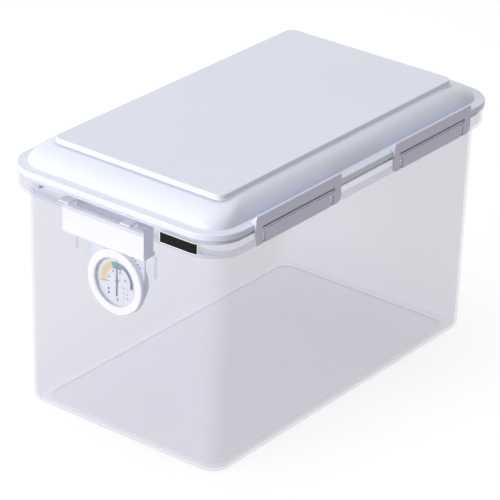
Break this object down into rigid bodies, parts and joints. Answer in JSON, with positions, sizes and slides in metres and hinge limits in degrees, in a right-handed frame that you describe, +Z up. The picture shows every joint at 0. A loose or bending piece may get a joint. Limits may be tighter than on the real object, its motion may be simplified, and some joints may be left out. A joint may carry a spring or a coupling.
{
  "type": "desiccator cabinet",
  "caption": "Clear top-opening dry storage box with a domed lift-off lid, swing latches, hanging desiccant case and dial hygrometer.",
  "frame": {"origin": "middle of the footprint, at the height of the surface it stands on", "axes": "+Z up, +Y along the long sides away from the gauge, +X towards the right-hand latches"},
  "size_m": [0.2861, 0.467, 0.2892],
  "materials": {
    "clear_plastic": "clear moulded styrene, polished",
    "lid_plastic": "fine satin moulded plastic, pale grey white",
    "latch_plastic": "satin moulded plastic, light grey",
    "white_plastic": "satin moulded plastic, white",
    "seal_rubber": "soft foamed seal",
    "label_film": "printed film label, blank",
    "pouch_fabric": "non-woven pouch cloth",
    "hanger_plastic": "translucent moulded plastic",
    "window_plastic": "clear polished window",
    "dial_paper": "printed dial card",
    "pointer_metal": "black enamel",
    "brass": "turned brass",
    "coil_metal": "coated humidity strip",
    "steel": "plated steel"
  },
  "bodies": {
    "tub": {"body_tub": "clear_plastic", "front_label": "label_film", "case_tray": "white_plastic", "silica_pouches": "pouch_fabric", "gauge_hanger": "hanger_plastic", "gauge_housing": "white_plastic", "gauge_bezel": "white_plastic", "gauge_window": "window_plastic", "gauge_dial": "dial_paper", "humidity_coil": "coil_metal", "gauge_bridge": "steel", "bridge_screws": "steel"},
    "lid": {"lid_shell": "lid_plastic", "lid_lip": "lid_plastic", "lid_keepers": "lid_plastic", "lid_seal": "seal_rubber"},
    "case_cover": {"case_cover": "white_plastic"},
    "pointer": {"gauge_pointer": "pointer_metal", "gauge_arbor": "brass"},
    "latch_front_right": {"latch_front_right": "latch_plastic"},
    "latch_rear_right": {"latch_rear_right": "latch_plastic"},
    "latch_front_left": {"latch_front_left": "latch_plastic"},
    "latch_rear_left": {"latch_rear_left": "latch_plastic"}
  },
  "joints": [
    {"name": "lid_lift", "type": "slide", "parent": "tub", "child": "lid", "axis": [0, 0, 1], "range_m": [0, 0.18]},
    {"name": "latch_front_right_hinge", "type": "hinge", "parent": "tub", "child": "latch_front_right", "pos_m": [0.139, -0.1145, 0.2452], "axis": [0, 1, 0], "range_deg": [0, 178]},
    {"name": "latch_rear_right_hinge", "type": "hinge", "parent": "tub", "child": "latch_rear_right", "pos_m": [0.139, 0.1095, 0.2452], "axis": [0, 1, 0], "range_deg": [0, 178]},
    {"name": "latch_front_left_hinge", "type": "hinge", "parent": "tub", "child": "latch_front_left", "pos_m": [-0.139, -0.1095, 0.2452], "axis": [0, -1, 0], "range_deg": [-178, 0]},
    {"name": "latch_rear_left_hinge", "type": "hinge", "parent": "tub", "child": "latch_rear_left", "pos_m": [-0.139, 0.1145, 0.2452], "axis": [0, -1, 0], "range_deg": [-178, 0]},
    {"name": "case_cover_hinge", "type": "hinge", "parent": "tub", "child": "case_cover", "pos_m": [-0.023, -0.1983, 0.2068], "axis": [-1, 0, 0], "range_deg": [0, 100]},
    {"name": "pointer_turn", "type": "hinge", "parent": "tub", "child": "pointer", "pos_m": [-0.0085, -0.20849, 0.1684], "axis": [0, -1, 0], "range_deg": [-120, 120]}
  ]
}
